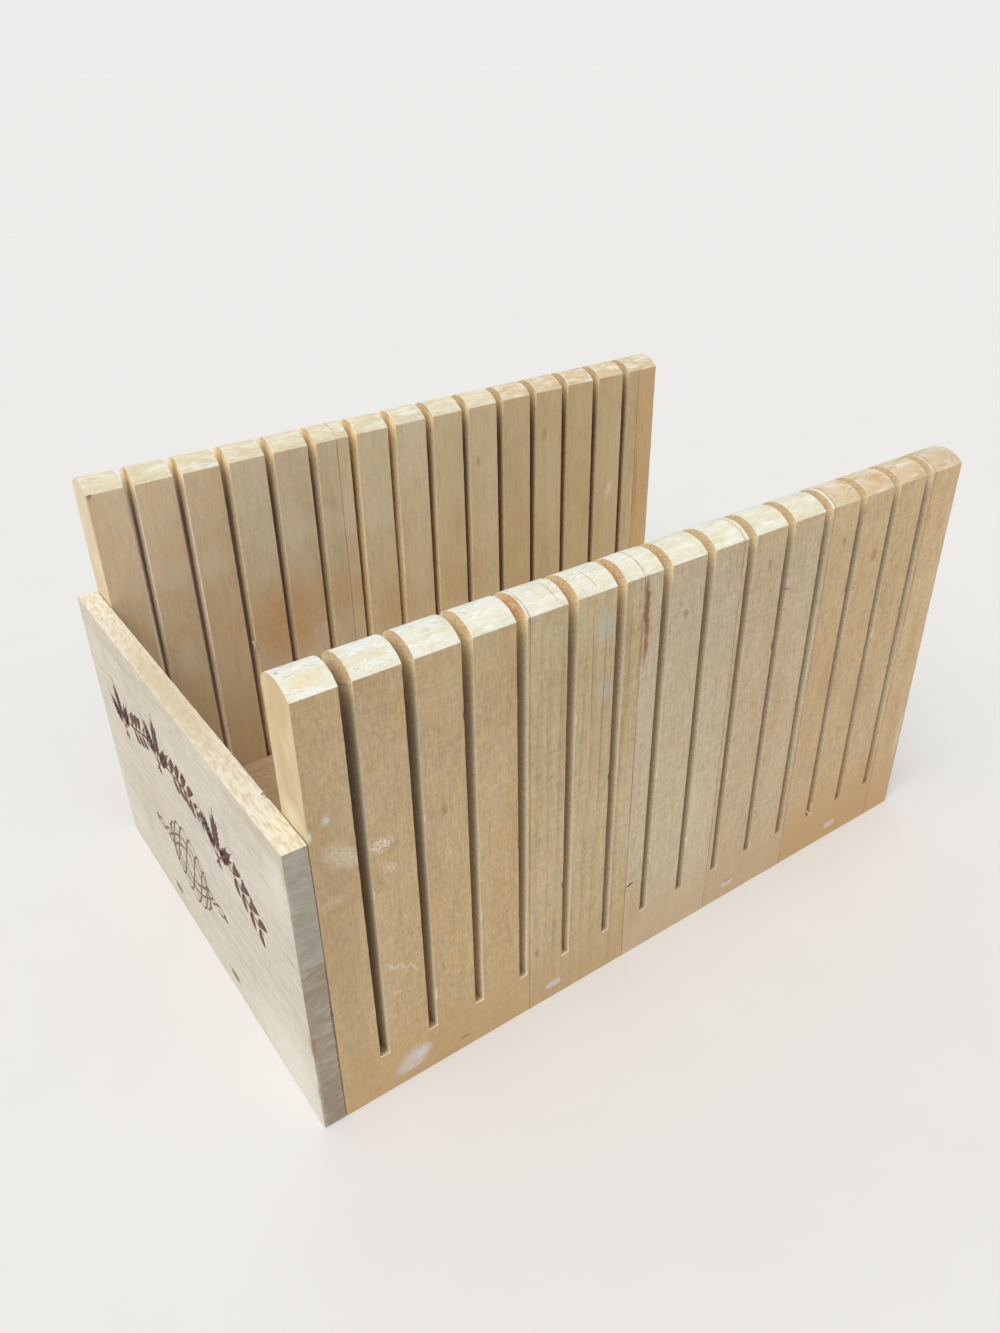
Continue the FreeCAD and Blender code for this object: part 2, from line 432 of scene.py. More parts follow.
def wood(name, axis, look, seams=(), marks=(), saw=None, top_edge=None):
    """A solid wood material. seams are glue lines across the first axis of the grain."""
    material, shader, place = new_material(name)
    seed = look["seed"]
    late = yearly_rings(place, axis, look["pith"], look["lean"], look["spacing"], seed)
    colour, rough, height = long_grain(place, axis, look, late, seed)
    oiled = rim = None
    if saw:
        z = place.parts()[2]
        # Partly painted warm light reflected up from a wooden table, partly oil drawn up at the foot.
        colour = colour.mix(look["foot"], z.rise(46, 6) * look["foot_bounce_and_oil"])
        # Painted shade that darkens the wall towards its top; a number below 0 lightens it instead.
        colour = colour.times(1.0 - z.rise(60, 170) * look["fade"])
        patchy = place.noise((0.12, 0.12, 0.045), 3, 0.6, seed).rise(0.40, 0.66)
        edge = patchy.mix_of(look["edge"], look["edge_pale"])
        colour = colour.mix(edge, facing(place, "X").rise(0.6, 0.85) * 0.72)
        oiled, rim = crown_wear_and_highlight(place, saw[0], look, seed)
    if top_edge:
        specks = place.noise(drawn(axis, 1.1, 4.5), 3, 0.6, seed).rise(0.38, 0.68)
        edge = specks.mix_of(shade(*top_edge[0]), shade(*top_edge[1]))
        colour = colour.mix(edge, facing(place, "Z").rise(0.35, 0.7) * 0.85)
    ends, end_rough, end_height = end_grain(place, axis, look, late, seed, oiled)
    # The pale rim on the tops is partly wear and partly a painted highlight.
    if rim:
        ends = ends.mix(look["chalk"], rim)
    end = facing(place, axis).rise(0.40, 0.56)
    colour = colour.mix(ends, end)
    rough = rough + end * (end_rough - rough)
    height = height + end * (end_height - height)
    if saw:
        mask, depth, ridges = sawn_walls(place, *saw)
        cut, cut_height = sawn_wood(place, depth, ridges, look, seed)
        side = facing(place, "X")
        # Rounded corners turn paler: partly wear, partly a painted highlight.
        colour = colour.mix(look["chalk"], side.rise(0.2, 0.5) * side.rise(0.95, 0.8) * 0.35)
        colour = colour.mix(cut, mask)
        rough = rough + mask * 0.2
        height = height + mask * (cut_height - height)
    if seams:
        colour, height = glue_lines(colour, height, place, axis, seams, seed)
    colour = add_marks(colour, place, marks, seed)
    return finish(material, shader, colour, rough, height)

# %% [markdown]
# ## Dressing a stave
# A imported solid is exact, with knife-sharp corners. A used board isn't: its corners are rubbed
# round, the saw left the slots a little ragged, and years of knives have opened their mouths.
# Each stave is a copy of its solid, merged into one skin and worked in edit mode. Cutting rows
# across it first gives the long corners enough points to wander.

# %% Working on one piece
@contextmanager
def editing():
    """Edit mode on the active piece, with everything selected, for what is indented under it."""
    bpy.ops.object.mode_set(mode="EDIT")
    bpy.ops.mesh.select_all(action="SELECT")
    yield
    bpy.ops.object.mode_set(mode="OBJECT")


def select_only(piece):
    """Make this the one selected piece, and the active one."""
    bpy.ops.object.select_all(action="DESELECT")
    piece.select_set(True)
    bpy.context.view_layer.objects.active = piece


def pick(piece, test):
    """In edit mode, select the vertices that pass the test, and say how many there are."""
    bpy.ops.mesh.select_all(action="DESELECT")
    mesh = bmesh.from_edit_mesh(piece.data)
    found = [vertex for vertex in mesh.verts if test(vertex.co / MM)]
    for vertex in found:
        vertex.select_set(True)
    mesh.select_flush(True)
    bmesh.update_edit_mesh(piece.data)
    return len(found)


def copy_of(node, name):
    """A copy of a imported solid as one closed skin, with each flat side a single face."""
    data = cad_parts[node].data.copy()
    data.materials.clear()
    data.name = name
    piece = bpy.data.objects.new(name, data)
    scene.collection.objects.link(piece)
    select_only(piece)
    bpy.ops.mesh.customdata_custom_splitnormals_clear()
    with editing():
        bpy.ops.mesh.remove_doubles(threshold=2e-6)
        bpy.ops.mesh.dissolve_limited(angle_limit=math.radians(0.5))
    return piece


def cut_rows(normal, places):
    """Cut the active piece across at each place, so that its long edges can wander."""
    with editing():
        for place in places:
            bpy.ops.mesh.select_all(action="SELECT")
            bpy.ops.mesh.bisect(plane_co=Vector(normal) * place * MM, plane_no=normal)


def apply(piece, kind, **settings):
    """Add a modifier with its settings, and make its result the piece's own mesh."""
    modifier = piece.modifiers.new(kind.lower(), kind)
    for name, value in settings.items():
        setattr(modifier, name, value)
    select_only(piece)
    bpy.ops.object.modifier_apply(modifier=modifier.name)

# %% [markdown]
# Which corners are rubbed round, and how far, depends on where they are. Glue joints stay tight,
# so they get no bevel at all. Bevel weights say this edge by edge, and one Bevel modifier then
# does the work. A Displace modifier with soft noise, held to the corners by a vertex group,
# nibbles at them afterwards. It only takes wood away, so the piece stays inside its solid.

# %% Softening and wearing the corners
def soften(piece, width_of):
    """Bevel each sharp edge by the width in mm that width_of gives for its middle."""
    mesh = bmesh.new()
    mesh.from_mesh(piece.data)
    weights = mesh.edges.layers.float.new("bevel_weight_edge")
    for edge in mesh.edges:
        if len(edge.link_faces) == 2 and edge.calc_face_angle() > math.radians(20):
            edge[weights] = width_of((edge.verts[0].co + edge.verts[1].co) / 2 / MM)
    mesh.to_mesh(piece.data)
    mesh.free()
    apply(piece, "BEVEL", limit_method="WEIGHT", width=MM, segments=2,
          use_clamp_overlap=False, miter_outer="MITER_SHARP")


def nibble(piece, depth, cell, spared):
    """Take up to depth mm off the corners, unevenly, apart from what spared(place, normal) says."""
    group = piece.vertex_groups.new(name="corner")
    points = [vertex.index for vertex in piece.data.vertices
              if max(abs(part) for part in vertex.normal) < 0.985
              and not spared(vertex.co / MM, vertex.normal)]
    group.add(points, 1.0, "REPLACE")
    texture = bpy.data.textures.new("nibble", "CLOUDS")
    texture.noise_scale = cell * MM
    apply(piece, "DISPLACE", texture=texture, texture_coords="LOCAL", direction="NORMAL",
          strength=-depth * MM, mid_level=0.0, vertex_group="corner")
    piece.vertex_groups.clear()


def shade_flat_and_round(piece):
    """Round corners shade smoothly, and wide faces stay flat up to them."""
    select_only(piece)
    bpy.ops.object.shade_smooth_by_angle(angle=math.radians(32))
    apply(piece, "WEIGHTED_NORMAL", keep_sharp=True)


def tear_out(piece, nicks):
    """Scoop splinter-shaped nicks out of the piece: each is a centre, a size and a turn."""
    if not nicks:
        return
    bpy.ops.object.select_all(action="DESELECT")
    cutters = []
    for centre, size, angle in nicks:
        bpy.ops.mesh.primitive_ico_sphere_add(
            subdivisions=2, radius=MM, location=Vector(centre) * MM, scale=size,
            rotation=[math.radians(part) for part in angle])
        cutters.append(bpy.context.object)
    for cutter in cutters:
        cutter.select_set(True)
    if len(cutters) > 1:
        bpy.ops.object.join()
    cutter = bpy.context.object
    apply(piece, "BOOLEAN", object=cutter, operation="DIFFERENCE", solver="EXACT")
    bpy.data.objects.remove(cutter)


def wear(piece, width_of, spared, nicks, depth, cell):
    """Everything that use did to one piece's corners."""
    soften(piece, width_of)
    nibble(piece, depth, cell, spared)
    tear_out(piece, nicks)
    shade_flat_and_round(piece)


def hand_over(piece, material, slot, *nodes):
    """The piece rides with the object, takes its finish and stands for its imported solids."""
    piece.data.materials.clear()
    piece.data.materials.append(material)
    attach(piece, "root")
    if nodes:
        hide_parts(*nodes)
    print(f"piece: {piece.name}, {len(piece.data.polygons)} faces, {slot}")

# %% [markdown]
# A knife rubs most at the top, so a slot's mouth is wider than its foot. Scaling the points at
# the two ends of each slot about its middle, before the rows are cut, tilts both walls at once.

# %% Opening the slots' mouths
mouth_width, foot_width, first_mouth_width = 3.95, 3.35, 4.2  # the first slot is the most worn


def open_slots(piece):
    """Widen every mouth and narrow every foot of the slots that run through the piece."""
    with editing():
        for start in slots:
            middle = start + slot_width / 2
            mouth = first_mouth_width if start == slots[0] else mouth_width
            for low, high, width in ((170, 190, mouth), (12, 22, foot_width)):
                def at_slot(place):
                    return low < place.z < high and abs(place.x - middle) < slot_width / 2 + 0.05
                if pick(piece, at_slot):
                    bpy.ops.transform.resize(value=(width / slot_width, 1, 1),
                                             center_override=(middle * MM, 0, 0))


def dress_wall_stave(node, name, material, slot, nicks=()):
    """One worn stave of a side wall."""
    low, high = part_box(node)
    seams = [x for x in (low.x / MM, high.x / MM) if wall_start + 1 < x < wall_end - 1]

    def at_seam(place, reach):
        return any(abs(place.x - seam) < reach for seam in seams)

    def is_recess(place):
        return 1 < place.z < 12.5 and wall_start + 1 < place.x < wall_end - 1

    def corner_width(place):
        if at_seam(place, touching) or is_recess(place):
            return 0.0
        if place.z < touching:
            return 0.35
        if min(abs(place.x - wall_start), abs(place.x - wall_end)) < touching:
            return 0.55
        return 0.22 if place.z > shoulder - 0.1 else 0.30

    def spared(place, normal):
        on_crown = place.z > shoulder + 0.1 and abs(normal.x) < 0.15
        return on_crown or at_seam(place, 0.15) or is_recess(place)

    piece = copy_of(node, name)
    open_slots(piece)
    cut_rows((0, 0, 1), range(24, 175, 3))
    wear(piece, corner_width, spared, nicks, depth=0.26, cell=2.2)
    hand_over(piece, material, slot, node)

# %% [markdown]
# ## The near wall
# Six staves from different planks: a plain warm one, one with dark upright lines, two pale pinkish
# ones, and two warmer ones at the open end. The marks follow the object's own history: smears of
# filler, small knots, rubs and stains. Each is placed by its distance from the wall's start and
# its height.

# %% Looks of the staves
def look(light, dark, pith, spacing, seed, figure=0.5, lean=0, blotch=0.35, **more):
    """What differs from stave to stave: its tones, and how it was cut from the log."""
    def beside(*steps):
        return [part + step for part, step in zip(light, steps)]

    # The pale end and chalk tones are partly painted light on the tops; the two cut tones run from a
    # painted lit corner to painted shade in the slots; the foot tone is partly painted reflected light,
    # and the top-shade number is painted shade.
    tones = {"light": light, "dark": dark, "warm": beside(-8, -17, -26), "pale": beside(9, 12, 17),
             "foot": beside(-4, -14, -22), "pore": [part * 0.66 for part in dark],
             "edge": (215, 190, 143), "edge_pale": (228, 208, 166), "end": (232, 232, 216),
             "end_dark": (216, 206, 174), "chalk": (240, 245, 240), "vein": (196, 184, 152),
             "butter": (231, 219, 178), "cut_pale": (216, 203, 174), "cut_deep": (177, 155, 126)}
    numbers = {"pith": pith, "lean": lean, "spacing": spacing, "figure": figure, "blotch": blotch,
               "seed": seed, "fade": 0.12, "saw_angle": 0, "ruled": 0.16, "ruled_width": 0.6,
               "soak": 0.55, "end_figure": 0.5, "veins": 0.5, "buttered": 0.3, "foot_bounce_and_oil": 0.6,
               "run": 1, "grain": 0.58, "flecks": 0.35, "sanded": 0.34, "cut": (0, 3.4, 1.02)}
    for name, value in more.items():
        (tones if name in tones else numbers)[name] = value
    return {**{name: shade(*tone) for name, tone in tones.items()}, **numbers}


def stave_look(light, dark, pith, *numbers, **more):
    """The look of a wall's stave, whose pith is placed from the wall's start."""
    return look(light, dark, (pith[0] + wall_start, pith[1]), *numbers, **more)


def on_face(face_y):
    """What makes marks on one upright face of a wall."""
    def mark(x, z, half_width, half_height, tint, cover=0.6, soft=0.6, angle=0, *kind):
        centre = (wall_start + x, face_y, z)
        return centre, (half_width, 2, half_height), (0, angle, 0), tint, cover, soft, *kind
    return mark


on_near, on_far = on_face(near_outer), on_face(far_inner)


def on_top(x, y, half_length, half_width, tint, cover=0.6, soft=0.8, angle=0):
    """A mark on a crowned top, turned by an angle from the wall's length."""
    centre = (wall_start + x, y, crest - 2)
    return centre, (half_length, half_width, 6), (0, 0, angle), tint, cover, soft


def spots(place_on, tint, soft, *rows):
    """Marks of one tint and softness. A row is a place, a size, a cover and perhaps a turn."""
    return [place_on(x, z, width, height, tint, cover, soft, *turn)
            for x, z, width, height, cover, *turn in rows]


print("a look holds", len(look((0, 0, 0), (0, 0, 0), (0, 0), 1, 0)), "tones and numbers")

# %% Looks of the near wall
knot, rub, stain = (150, 106, 64), (236, 226, 210), (186, 144, 98)
grey, line, torn = (176, 182, 180), (130, 98, 66), (212, 162, 100)
dried_filler, rubbed_line = (212, 200, 198), (176, 166, 140)
open_end = {"soak": 0.75, "foot_bounce_and_oil": 0.95}
near_looks = [
    stave_look((197, 171, 131), (178, 148, 106), (35, 25), 5.2, (3, 1, 7), 0.4, 0.05, 0.4,
               end=(234, 238, 231)),
    stave_look((195, 174, 137), (162, 135, 98), (200, -60), 4.3, (9, 4, 2), 0.7, 0.012, 0.25,
               fade=0.08, end=(232, 234, 224)),
    stave_look((201, 184, 155), (182, 161, 127), (150, 10), 6, (5, 8, 1), 0.4, -0.03, 0.25),
    stave_look((199, 179, 147), (179, 154, 118), (190, 20), 5, (2, 6, 4), 0.45, 0.04, 0.3,
               end=(228, 226, 208), fade=0.05),
    stave_look((198, 172, 133), (177, 143, 102), (262, -10), 4.4, (7, 3, 9), 0.45, -0.05, 0.45,
               end=(217, 204, 174), end_dark=(202, 172, 126), chalk=(234, 228, 210), fade=0,
               butter=(214, 176, 128), buttered=0.25, vein=(176, 136, 96), **open_end),
    stave_look((200, 174, 134), (181, 146, 105), (330, -40), 4.8, (1, 9, 5), 0.4, 0.02, 0.4,
               end=(212, 197, 168), end_dark=(198, 174, 136), chalk=(228, 220, 204), fade=-0.05,
               butter=(210, 182, 140), buttered=0.2, vein=(176, 148, 112), **open_end),
]


def in_mouth(slot, half_length, half_height, tint, cover=0.6, *kind):
    """Torn wood at the mouth of a slot in the near wall, on the side away from the front."""
    centre = (slots[slot] + slot_width + 0.2, near_middle - 1.5, crest - 3.6)
    return centre, (1.4, half_length, half_height), (0, 0, 0), tint, cover, 0.7, *kind


near_marks = [
    [*spots(on_near, dried_filler, 0.8, (29.5, 10.4, 9.5, 7.4, 0.8, -25), (25, 7.5, 5.4, 4.4, 0.7)),
     on_near(33, 11.5, 5, 3.4, (226, 216, 214), 0.5, 0.8, -20),
     on_near(51.1, 6.1, 2.2, 0.4, (104, 76, 52), 0.85, 0.4),
     on_near(13.6, 4.6, 1.6, 1.3, (208, 132, 62)),
     on_near(6.4, 134, 2.4, 2.8, (212, 216, 202), 0.85, 0.9),
     on_near(0.8, 130, 1.3, 3, (228, 222, 210), 0.85, 0.8),
     on_near(10.5, 117.5, 10, 5.2, rub, 1.2, 0.8, 42, "dashes"),
     on_near(10.5, 117.5, 9.5, 6, (210, 194, 166), 0.65, 0.9, 42),
     on_near(23.6, 115.5, 6.5, 3.6, rub, 1, 0.8, -8, "dashes"),
     *spots(on_near, rub, 0.9, (26.5, 104.5, 8.5, 3, 0.5, 38, "dashes"),
            (5.5, 101.5, 8, 3.8, 0.7, -6, "dashes"), (23.2, 61.4, 3.6, 1, 0.42, 58),
            (25.8, 60.2, 2.3, 1, 0.42, -38), (27.9, 59, 2.9, 1, 0.38, 64),
            (30, 58, 2.1, 1, 0.38, -42), (32.2, 55.6, 3.9, 1, 0.32, 60)),
     on_near(6, 80, 15, 90, (166, 136, 96), 0.55, 0.95),
     ((wall_start, near_middle, 132), (2, 12, 9), (0, 0, 0), (232, 222, 190), 0.75, 0.9),
     on_near(47.5, 118.6, 1.6, 3.2, knot, 0.45),
     *spots(on_near, stain, 0.9, (45, 172, 10, 7, 0.28), (66, 60, 7, 26, 0.2)),
     on_near(60, 168, 24, 17, (188, 174, 126), 0.35, 0.95),
     on_top(7.5, near_outer + 5, 9.5, 5, (230, 215, 168)),
     on_top(1.6, near_outer + 10.2, 0.9, 0.9, (122, 116, 110), 0.7),
     *spots(on_top, rubbed_line, 0.6, (5, near_outer + 7.5, 5, 0.25, 0.6, 14),
            (11.5, near_outer + 8.4, 4, 0.25, 0.5, -16)),
     in_mouth(3, 7, 4.6, (220, 156, 82), 0.9),
     in_mouth(3, 6, 3, (244, 232, 204), 1, "dashes")],
    [*spots(on_near, grey, 0.9, (113, 164, 6.5, 9, 0.55), (114, 139, 5, 8, 0.4)),
     on_near(85.2, 29, 1.5, 2.6, knot, 0.5),
     on_near(100, 168, 20, 16, (190, 178, 132), 0.35, 0.95),
     in_mouth(4, 7.5, 6, torn, 0.7, "dashes"), in_mouth(5, 7.5, 7, torn, 0.75, "dashes"),
     on_near(99.7, 118, 0.35, 60, (136, 104, 72), 0.45, 0.6, 0.3),
     *spots(on_near, line, 0.6, (108, 150, 0.4, 34, 0.5, -0.4), (113.2, 128, 0.35, 52, 0.5, 0.5)),
     on_near(116.1, 146, 0.3, 32, (134, 102, 70), 0.4),
     on_near(124.5, 150, 0.5, 26, (136, 102, 70), 0.4, 0.6, 0.6),
     on_near(129.2, 150, 0.6, 18, (132, 92, 58), 0.5, 0.8, 1),
     on_top(93.4, near_middle - 1.5, 0.22, 9.5, (150, 140, 118), 0.7, 0.5, 3),
     on_top(109.2, near_middle - 3.5, 0.22, 6, (112, 92, 70), 0.6, 0.5, 10),
     on_top(104.6, near_middle + 2, 0.2, 4, (142, 124, 98), 0.35, 0.5, -7)],
    [on_near(132, 38.9, 2.6, 0.8, (66, 50, 40), 0.95, 0.5, -12),
     on_near(132.5, 43.5, 5.5, 4.5, (178, 156, 126), 0.45, 0.9),
     in_mouth(6, 7.5, 6, torn, 0.6, "dashes"),
     on_near(150, 157, 1.7, 3, knot, 0.5),
     on_near(131, 160, 5, 24, (172, 138, 92), 0.5, 0.95),
     on_near(131.2, 165, 1.9, 17, (128, 94, 58), 1.2, 0.8, -1.5),
     on_near(160, 96, 8, 22, stain, 0.16, 0.9),
     on_near(131.6, 152, 1.3, 14, (140, 98, 64), 0.9, 0.8, 1),
     on_near(134, 24, 7, 22, (190, 148, 100), 0.45, 0.95)],
    [on_near(192, 164, 1.8, 3.2, knot, 0.5),
     on_near(204, 150, 2.6, 0.6, (118, 88, 58), 0.6, 0.5, 4),
     on_near(178.4, 116, 1.2, 7, stain, 0.5, 0.8), on_near(210, 90, 7, 30, stain, 0.22, 0.9)],
    [*spots(on_near, knot, 0.6, (234, 162, 1.8, 3.2, 0.5), (255, 150, 2.6, 4.2, 0.5)),
     on_near(263.6, 174, 0.9, 0.9, (58, 42, 32), 0.95, 0.5),
     *spots(on_near, stain, 0.9, (240, 96, 10, 24, 0.45), (262, 80, 9, 26, 0.42),
            (282, 104, 6, 32, 0.45), (243.5, 172, 3.4, 6, 0.6)),
     on_near(262, 121, 3, 5, knot, 0.4, 0.8),
     on_top(231.5, near_middle + 1, 8, 8, (240, 234, 214), 0.55),
     on_top(238, near_outer + 4, 5, 0.3, (206, 132, 92), 0.6, 0.6, 18),
     on_top(255.5, near_outer + 5.5, 7, 4, (208, 158, 104), 0.65),
     on_top(276, near_outer + 5, 6, 3, (206, 166, 118), 0.4)],
    [*spots(on_near, stain, 0.9, (296, 96, 6, 34, 0.38), (298, 152, 3.2, 7, 0.5)),
     on_near(302, 40, 2.5, 18, rub, 0.3, 0.9),
     on_top(296, near_middle - 4, 6, 4, (206, 180, 146), 0.5)],
]
print("near wall:", sum(len(marks) for marks in near_marks), "marks on", len(near_looks), "staves")

# %% Dress the near wall
def dress_wall(side, looks, joints, marks, packed_slots, saw, nicks):
    """Every stave of one wall, with its own wood, marks and nicks."""
    seams = [wall_start + joint for joint in joints]
    for number, (seen, own, slot) in enumerate(zip(looks, marks, packed_slots), 1):
        material = wood(f"{side} wall wood {number}", "Z", seen, seams, own, saw)
        dress_wall_stave(f"{side}_wall_stave_{number}", f"{side}_stave_{number}", material, slot,
                         nicks.get(number, ()))


def nick_near(slot, side, z, length, deep=0.7):
    """A nick in a slot's outer corner: side 0 is its near edge, 1 its far edge."""
    x = slots[slot] + side * slot_width
    return (x, near_outer, z), (0.75, deep, length), (6, 4, 0)


near_nicks = {
    1: [(1, 1, 37, 5, 0.9), (0, 1, 96, 3.4), (2, 0, 152, 3), (1, 1, 118, 2.6), (2, 1, 64, 3)],
    2: [(4, 1, 131, 3.6), (5, 0, 100, 2.6), (4, 0, 58, 2.6)],
    3: [(6, 1, 90, 3), (7, 1, 47, 3.2)],
    4: [(9, 0, 127, 2.8), (8, 1, 71, 3)],
    5: [(11, 0, 140, 3.4), (11, 1, 25.5, 3.2, 1.1), (12, 1, 110, 2.8)],
}
near_slots = ["wall_warm", "wall_grained", "wall_pale", "wall_pale", "wall_warm", "wall_warm"]
dress_wall("near", near_looks, (81.8, 129.6, 176.8, 225.4, 287), near_marks, near_slots,
           (near_outer, 1), {number: [nick_near(*row) for row in rows]
                             for number, rows in near_nicks.items()})

# %% [markdown]
# ## The far wall
# The far wall was glued up from seven staves, and its inner face is what shows. Bread and hands
# have left a broad orange-brown band across its first staves. The same functions dress it, with
# the saw's arcs mirrored.

# %% Dress the far wall
far_usual = {"fade": 0.04, "buttered": 0.2, "run": 2.4, "grain": 0.3, "flecks": 0.1, "sanded": 0.12,
             "edge": (220, 199, 162), "edge_pale": (234, 218, 190)}
chalky = {"end": (225, 215, 184), "end_dark": (212, 194, 154)}
yellowed = {"end": (218, 198, 160), "end_dark": (204, 176, 130)}


def far_look(tones, numbers, tops, rubbed=(218, 200, 164), depth_shade=(134, 102, 68), depths=(0.4, 4)):
    """A far stave's look. Its slots are painted from a lit tone at the corner to a shade deeper in."""
    return stave_look(*tones, *numbers, cut_pale=rubbed, cut_deep=depth_shade, cut=(*depths, 1.12),
                      **tops, **far_usual)


far_looks = [
    far_look(((218, 197, 163), (198, 172, 134)), ((20, 10), 6, (4, 2, 8), 0.4, 0.03, 0.35),
             chalky, (250, 238, 220), (142, 116, 96), (5, 8.5)),
    far_look(((217, 201, 170), (197, 177, 141)), ((88, 30), 5.4, (8, 5, 3), 0.5, -0.07, 0.35),
             chalky, (222, 208, 180), (142, 116, 96), (4.5, 8)),
    far_look(((224, 208, 174), (203, 182, 143)), ((136, 20), 5, (6, 1, 4), 0.45, 0.04, 0.35),
             chalky, (238, 222, 188), (142, 114, 84), (4, 7.5)),
    far_look(((219, 201, 163), (196, 172, 130)), ((180, -20), 5.2, (1, 7, 6), 0.4, 0.02, 0.35),
             chalky, (230, 214, 182), (140, 110, 78), (1, 6)),
    far_look(((211, 191, 151), (188, 161, 119)), ((222, 15), 4.8, (9, 3, 1), 0.45, -0.03, 0.38),
             yellowed),
    far_look(((208, 187, 145), (185, 157, 113)), ((265, 25), 4.6, (3, 9, 7), 0.45, 0.05, 0.38),
             yellowed),
    far_look(((211, 180, 132), (184, 148, 100)), ((330, -10), 4.4, (5, 4, 9), 0.5, 0.02, 0.38),
             yellowed),
]
band, soiled, bleached = (208, 162, 106), (206, 168, 120), (232, 220, 196)
far_marks = [
    [on_far(1.4, 176.6, 1.5, 1.5, (92, 74, 80), 0.6, 0.7), on_far(50, 98, 14, 22, band, 0.25, 0.95),
     on_far(27, 92, 9, 16, (236, 226, 204), 0.5, 0.95), on_far(40, 134, 40, 13, bleached, 0.35, 0.95)],
    [on_far(77, 96, 25, 31, band, 0.62, 0.7), on_far(104, 102, 18, 20, band, 0.45, 0.95),
     on_far(90, 140, 34, 12, bleached, 0.35, 0.95)],
    [*spots(on_far, band, 0.95, (116, 100, 12, 15, 0.45), (142, 128, 6, 18, 0.2)),
     on_far(130, 136, 26, 13, (230, 218, 194), 0.35, 0.95),
     on_far(150, 100, 8, 20, (234, 218, 188), 0.3, 0.95), on_far(136, 84, 24, 24, band, 0.4, 0.95)],
    [on_far(180, 88, 26, 24, band, 0.3, 0.95), on_far(176, 120, 8, 22, soiled, 0.3, 0.95),
     on_far(188, 150, 2.2, 4.5, knot, 0.35, 0.8)],
    [on_far(214, 118, 9, 24, soiled, 0.4, 0.95), on_far(229, 155, 2.6, 5, knot, 0.3, 0.8)],
    [on_far(274, 114, 3, 8, (240, 230, 212), 0.45, 0.9, 20),
     on_far(256, 120, 8, 30, soiled, 0.4, 0.95)],
    [on_far(294, 112, 1.6, 34, (172, 130, 90), 0.5, 0.9), on_far(300, 130, 4, 30, soiled, 0.4, 0.95)],
]
far_slots = ["wall_pale", "wall_grained", "wall_grained", "wall_pale"] + ["wall_warm"] * 3
dress_wall("far", far_looks, (58.4, 111.5, 160.6, 201.5, 242.4, 292.4), far_marks, far_slots,
           (far_outer, -1), {})

# %% [markdown]
# ## The front board
# Two boards, glued edge to edge, close the near end of the trough up to two thirds of its height.
# Their grain runs across, so their ends show as grey end grain beside the walls. The face is set
# back by a few hundredths of a millimetre, which leaves room for the thickness of the print.

# %% Dress the front board
low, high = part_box("front_board_upper")
board_joint, board_top = low.z / MM, high.z / MM
front_middle = (front_face + wall_start) / 2
print_room = 0.06
front_usual = {"run": 2.6, "grain": 0.54, "flecks": 0.25, "ruled": 0.34, "ruled_width": 0.55,
               "saw_angle": -9, "soak": 0.35, "end_figure": 0.15, "veins": 0.3,
               "chalk": (178, 174, 160), "vein": (116, 104, 90)}
lower_look = look((209, 202, 187), (189, 178, 158), (20, 60 + front_face), 4.6, (2, 7, 5), 0.45, 0.03,
                  0.3, end=(161, 147, 129), end_dark=(136, 117, 94), **front_usual)
upper_look = look((208, 200, 183), (188, 175, 152), (150, 70 + front_face), 4.2, (6, 2, 9), 0.45,
                  -0.02, 0.3, end=(166, 160, 147), end_dark=(140, 127, 108), **front_usual)
top_colours = ((246, 240, 221), (222, 203, 164))


def on_front(y, z, half_width, half_height, tint, cover=0.6, soft=0.8):
    """A mark on the front face, placed by its distance from the near side and its height."""
    centre = (front_face, near_outer + y, z)
    return centre, (2, half_width, half_height), (0, 0, 0), tint, cover, soft


def on_end(x, z, half_width, half_height, tint, cover=0.6, *kind):
    """A mark on the front's near end: x is counted from the middle of its thickness."""
    centre = (front_middle + x, near_outer, z)
    return centre, (half_width, 1.6, half_height), (0, 0, 0), tint, cover, 0.8, *kind


smudge, amber, glue, tanned = (134, 114, 92), (186, 128, 70), (186, 150, 132), (190, 172, 140)
lower_marks = [
    *spots(on_front, smudge, 0.9, (138.5, 10.5, 9.5, 2.4, 0.55), (76, 10, 9, 2.8, 0.6)),
    on_front(6, board_joint, 16, 0.5, glue, 0.7), on_front(70, board_joint, 90, 0.3, glue, 0.35, 0.6),
    *spots(on_front, tanned, 0.95, (50, 34, 5, 14, 0.35), (165, 30, 10, 16, 0.5)),
    on_front(20, 12, 44, 42, (231, 227, 215), 0.65, 0.95),
    on_front(186, 16, 22, 20, (222, 214, 198), 0.4, 0.95),
    on_front(150, 50, 26, 30, tanned, 0.35, 0.95),
    on_end(0, board_joint, 7, 0.45, (84, 74, 60), 0.75), on_end(4.45, 42, 0.3, 46, (70, 54, 40), 0.8),
    on_end(4.1, 52, 0.65, 34, (92, 68, 48), 1, "dashes"),
    on_end(4.2, 22, 0.5, 18, (104, 78, 54), 0.8, "dashes"),
    on_end(-3.6, 44, 1.4, 9, (150, 116, 76), 0.7), on_end(0, 12, 8, 22, (142, 124, 104), 0.5),
    *spots(on_front, amber, 0.8, (1.2, 44, 1.2, 9, 0.45), (0.8, 20, 1, 6, 0.4)),
    on_front(186, 60, 12, 18, (222, 214, 196), 0.4, 0.95),
]
